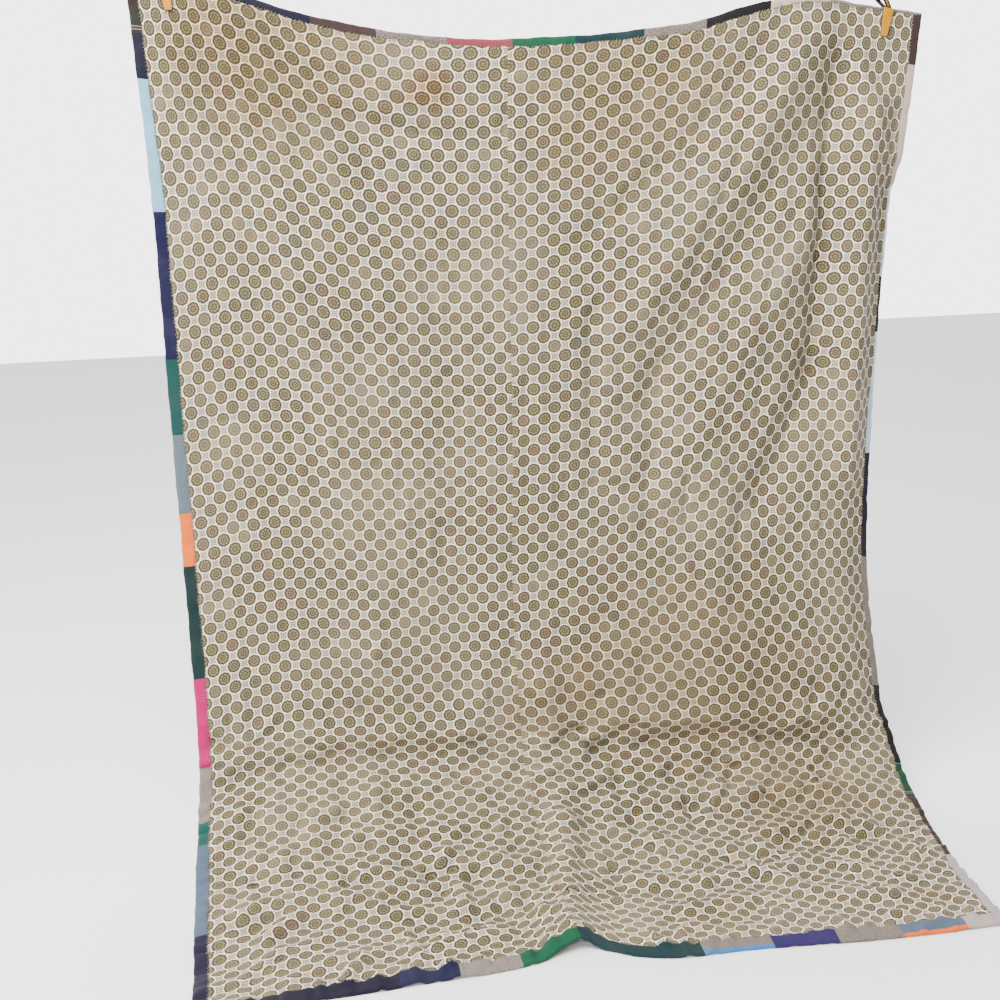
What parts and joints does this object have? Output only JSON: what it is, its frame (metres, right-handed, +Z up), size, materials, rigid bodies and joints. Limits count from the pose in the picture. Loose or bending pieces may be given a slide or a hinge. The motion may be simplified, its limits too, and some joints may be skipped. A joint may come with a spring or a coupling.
{
  "type": "patchwork quilt with two hanging clips",
  "caption": "Patchwork quilt hung by its top edge from spring clips, printed backing to the front, patched edge strips, and its foot spread forward on the floor.",
  "frame": {"origin": "on the top edge of the quilt, midway between the two clips", "axes": "+Z up, -Y out of the printed side that faces the viewer, +X to the viewer's right"},
  "size_m": [1.5831, 0.6819, 1.8138],
  "materials": {
    "patchwork_face": "matte woven cottons and wool mixtures",
    "printed_backing": "matte printed cotton",
    "binding": "matte woven cottons and wool mixtures",
    "jaw_yellow": "smooth moulded",
    "spring_black": "satin"
  },
  "bodies": {
    "root": {"quilt_top": "patchwork_face", "backing_left": "printed_backing", "backing_right": "printed_backing", "edge_left": "binding", "edge_right": "binding", "edge_top": "binding", "edge_bottom": "binding", "clip_left_jaw_front": "jaw_yellow", "clip_left_jaw_back": "jaw_yellow", "clip_left_spring": "spring_black", "clip_right_jaw_front": "jaw_yellow", "clip_right_jaw_back": "jaw_yellow", "clip_right_spring": "spring_black"}
  },
  "joints": []
}
